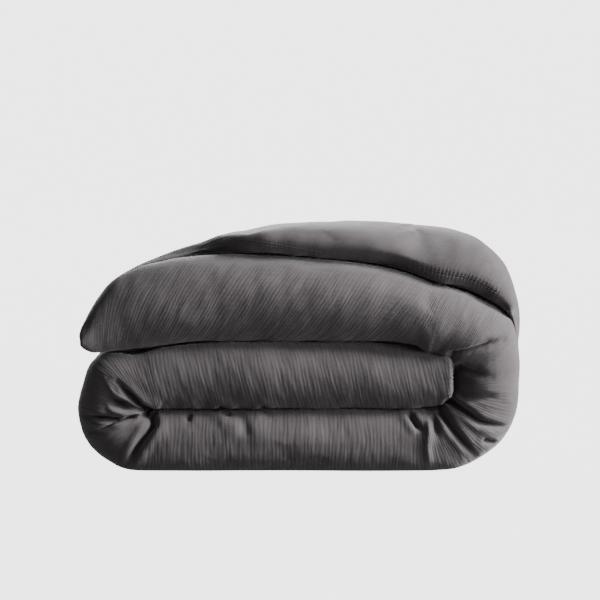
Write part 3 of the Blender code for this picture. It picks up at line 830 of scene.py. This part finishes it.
def gauze(name, dark, light):
    """The cover's cloth: charcoal double gauze. Its colour runs from dark to light with painted shade, dark in the
    crinkles' grooves and light on their ridges, and with random patches of tone.
    """
    material = bpy.data.materials.new(name)
    material.use_nodes = True
    tree = material.node_tree
    shader = tree.nodes["Principled BSDF"]
    cloth = tree.nodes.new("ShaderNodeUVMap")
    cloth.uv_map = "cloth"
    crinkle = tree.nodes.new("ShaderNodeGroup")
    crinkle.node_tree = CRINKLE
    tree.links.new(cloth.outputs["UV"], crinkle.inputs["Cloth"])
    drawn = tree.nodes.new("ShaderNodeUVMap")
    drawn.uv_map = "crinkle"
    parts = tree.nodes.new("ShaderNodeSeparateXYZ")
    tree.links.new(drawn.outputs["UV"], parts.inputs[0])
    tree.links.new(parts.outputs["X"], crinkle.inputs["Ridges"])
    tree.links.new(parts.outputs["Y"], crinkle.inputs["Across"])
    weave = tree.nodes.new("ShaderNodeGroup")
    weave.node_tree = WEAVE
    tree.links.new(cloth.outputs["UV"], weave.inputs["Cloth"])
    colour = tree.nodes.new("ShaderNodeMix")
    colour.data_type = "RGBA"
    colour.inputs["A"].default_value = (*dark, 1.0)
    colour.inputs["B"].default_value = (*light, 1.0)
    # painted shade of the crinkles' grooves, with random patches, picks the colour between dark and light
    tree.links.new(crinkle.outputs["Shade"], colour.inputs["Factor"])
    tree.links.new(colour.outputs["Result"], shader.inputs["Base Color"])
    threads = tree.nodes.new("ShaderNodeBump")
    threads.inputs["Strength"].default_value = 0.6
    threads.inputs["Distance"].default_value = 0.00012
    tree.links.new(weave.outputs["Height"], threads.inputs["Height"])
    ridges = tree.nodes.new("ShaderNodeBump")
    ridges.inputs["Strength"].default_value = 1.0
    ridges.inputs["Distance"].default_value = 0.0003
    tree.links.new(crinkle.outputs["Height"], ridges.inputs["Height"])
    tree.links.new(threads.outputs["Normal"], ridges.inputs["Normal"])
    tree.links.new(ridges.outputs["Normal"], shader.inputs["Normal"])
    shader.inputs["Roughness"].default_value = 0.90
    shader.inputs["Specular IOR Level"].default_value = 0.20
    shader.inputs["Sheen Weight"].default_value = 0.25
    shader.inputs["Sheen Roughness"].default_value = 0.45
    shader.inputs["Sheen Tint"].default_value = (0.85, 0.83, 0.85, 1.0)
    return material


def plain_fabric(name, colour, scale, depth):
    """Hidden fabrics: a fine weave or fibre grain in the object's own coordinates."""
    material = bpy.data.materials.new(name)
    material.use_nodes = True
    tree = material.node_tree
    shader = tree.nodes["Principled BSDF"]
    place = tree.nodes.new("ShaderNodeTexCoord")
    grain = tree.nodes.new("ShaderNodeTexNoise")
    grain.inputs["Scale"].default_value = scale
    grain.inputs["Detail"].default_value = 4.0
    tree.links.new(place.outputs["Object"], grain.inputs["Vector"])
    mix = tree.nodes.new("ShaderNodeMix")
    mix.data_type = "RGBA"
    mix.inputs["A"].default_value = (*[0.82 * c for c in colour], 1.0)
    mix.inputs["B"].default_value = (*colour, 1.0)
    tree.links.new(grain.outputs["Fac"], mix.inputs["Factor"])
    tree.links.new(mix.outputs["Result"], shader.inputs["Base Color"])
    bump = tree.nodes.new("ShaderNodeBump")
    bump.inputs["Strength"].default_value = 0.5
    bump.inputs["Distance"].default_value = depth
    tree.links.new(grain.outputs["Fac"], bump.inputs["Height"])
    tree.links.new(bump.outputs["Normal"], shader.inputs["Normal"])
    shader.inputs["Roughness"].default_value = 0.9
    return material


# ---- camera, light and floor ---------------------------------------------------------------------------------------
CAMERA_AIM = Vector((0.002, FRONT, 0.2665))
CAMERA_TILT = math.radians(8.0)
CAMERA_DISTANCE = 2.078
FLOOR_LIFT = 3.3  # the floor's glow as the camera sees it
FLOOR_GLOW = 0.18  # its glow for every ray
WORLD_STRENGTH = 0.24


def camera():
    data = bpy.data.cameras.new("camera")
    data.lens = 85.0
    data.sensor_width = 36.0
    eye = bpy.data.objects.new("camera", data)
    bpy.context.collection.objects.link(eye)
    eye.location = CAMERA_AIM + Vector((0.0, -math.cos(CAMERA_TILT), math.sin(CAMERA_TILT))) * CAMERA_DISTANCE
    eye.rotation_euler = (CAMERA_AIM - eye.location).to_track_quat("-Z", "Y").to_euler()
    bpy.context.scene.camera = eye


def soft_light(name, place, aim, size, watts):
    """A square area lamp that lights the duvet only."""
    data = bpy.data.lights.new(name, "AREA")
    data.shape = "RECTANGLE"
    data.size = data.size_y = size
    data.energy = watts
    lamp = bpy.data.objects.new(name, data)
    lamp.light_linking.receiver_collection = LIT
    bpy.context.collection.objects.link(lamp)
    lamp.location = place
    lamp.rotation_euler = (Vector(aim) - Vector(place)).to_track_quat("-Z", "Y").to_euler()


LIT = bpy.data.collections.new("lit_by_key")
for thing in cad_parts.values():
    LIT.objects.link(thing)


def studio():
    """A pale floor that curves up into a wall, the world's even light and three lamps."""
    data = bpy.data.meshes.new("floor")
    reach, depth, wall = 6.0, 3.0, 5.0
    turn = [math.radians(a) for a in range(0, 91, 6)]
    profile = [(-reach, 0.0)] + [(depth + math.sin(a), 1 - math.cos(a)) for a in turn] + [(depth + 1, wall)]
    points = [(side * reach, y, z - 0.0004) for y, z in profile for side in (-1, 1)]
    faces = [(2 * i, 2 * i + 1, 2 * i + 3, 2 * i + 2) for i in range(len(profile) - 1)]
    data.from_pydata(points, [], faces)
    data.shade_smooth()
    floor = bpy.data.objects.new("floor", data)
    bpy.context.collection.objects.link(floor)
    material = bpy.data.materials.new("pale_floor")
    material.use_nodes = True
    shader = material.node_tree.nodes["Principled BSDF"]
    shader.inputs["Base Color"].default_value = (0.80, 0.80, 0.80, 1.0)
    shader.inputs["Roughness"].default_value = 0.95
    shader.inputs["Specular IOR Level"].default_value = 0.1
    shader.inputs["Emission Color"].default_value = (1.0, 1.0, 1.0, 1.0)
    seen = material.node_tree.nodes.new("ShaderNodeLightPath").outputs["Is Camera Ray"]
    lift = math_node(material.node_tree, "MULTIPLY_ADD", seen, FLOOR_LIFT, FLOOR_GLOW)
    material.node_tree.links.new(lift, shader.inputs["Emission Strength"])
    data.materials.append(material)
    world = bpy.data.worlds.new("studio")
    world.use_nodes = True
    world.node_tree.nodes["Background"].inputs["Color"].default_value = (1.0, 1.0, 1.0, 1.0)
    world.node_tree.nodes["Background"].inputs["Strength"].default_value = WORLD_STRENGTH
    bpy.context.scene.world = world
    soft_light("key", (2.8, -0.65, 1.6), (0.0, 0.0, 0.15), 0.9, 500)
    soft_light("fill", (1.5, -1.0, 0.6), (0.15, 0.0, 0.2), 0.6, 26)
    soft_light("back", (-1.4, 2.9, 1.1), (0.0, 0.1, 0.15), 1.4, 90)


# ---- put together --------------------------------------------------------------------------------------------------
def duvet():
    cover = Cover()
    loop = cover.loop.shape[1]
    everything = list(range(loop))
    # dark is the painted shade in the crinkles' grooves, light the colour on their ridges
    cloth = gauze("charcoal_gauze", (0.0195, 0.0170, 0.0178), (0.0850, 0.0760, 0.0790))
    rows = len(cover.places)
    front = cover.face[:, FRONT_MIDDLE]
    left_turn = int(np.argmin(cover.face[: rows // 2, FRONT_MIDDLE, 0]))
    right_turn = int(np.argmax(cover.face[:, 0, 0]))
    root = right_turn + int(np.argmin(np.abs(front[right_turn:, 0] - FLAP_ROOT_X)))
    back_reverse = loop - 1 - min(range(len(cover.keep)), key=lambda i: abs(cover.keep[i] - BACK_MIDDLE))
    flap_columns = list(range(back_reverse, loop)) + list(range(0, BACK_MIDDLE + 1))
    under_columns = list(range(BACK_MIDDLE, back_reverse + 1))

    middle = cover_piece("cover_middle_layer", cover, 0, left_turn, everything, cloth, foot_cap=True)
    bottom = cover_piece("cover_bottom_layer", cover, left_turn, right_turn, everything, cloth)
    shoulder = cover_piece("cover_right_bend", cover, right_turn, root, everything, cloth)
    under = cover_piece("cover_top_fold", cover, root, rows - 1, under_columns, cloth, head_cap=True)
    flap = cover_piece("cover_flap", cover, root, rows - 1, flap_columns, cloth, head_cap=True)
    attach(middle, "base")
    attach(bottom, "base")
    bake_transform(shoulder)
    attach(under, "top_fold")
    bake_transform(flap)
    inner = ("ticking_face", "ticking_reverse", "wadding", "cover_face", "cover_reverse")
    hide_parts(*[f"base_{n}" for n in inner], "base_outer_edge_seam", "base_inner_edge_seam")
    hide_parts("foot_button_band", "foot_buttonhole_band")
    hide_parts(*[f"top_fold_{n}" for n in inner], "top_fold_edge_seam", "top_fold_head_seam")
    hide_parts("head_inner_corner_loop", "head_inner_corner_tie")  # inside the closed cover
    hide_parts(*[f"flap_{n}" for n in inner], "flap_edge_seam", "flap_head_seam")
    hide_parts("head_outer_corner_loop", "head_outer_corner_tie")  # inside the closed cover
    thread = plain_fabric("sewing_thread", (0.085, 0.078, 0.081), 2400.0, 0.0002)
    base_row = stitches("topstitch_base", cover, 0, right_turn, thread)
    seam_end = right_turn + int(np.argmax(cover.seam_shown[right_turn:root, 0] > 0.5))
    bend_row = stitches("topstitch_right_bend", cover, seam_end, root, thread)
    flap_row = stitches("topstitch_flap", cover, root, rows - 6, thread)
    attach(base_row, "base")
    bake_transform(bend_row)
    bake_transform(flap_row)
    for row in (base_row, bend_row, flap_row):
        LIT.objects.link(row)
    for piece in (middle, bottom, shoulder, under, flap):
        LIT.objects.link(piece)


camera()
studio()
duvet()
tape = plain_fabric("cotton_tape", (0.10, 0.10, 0.10), 900.0, 0.0003)
horn = plain_fabric("dark_button", (0.05, 0.05, 0.05), 300.0, 0.0001)
for node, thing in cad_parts.items():
    if node.startswith(("foot_inner", "foot_outer", "foot_button_")):
        for slot in thing.material_slots:
            slot.material = horn if node[-1].isdigit() else tape
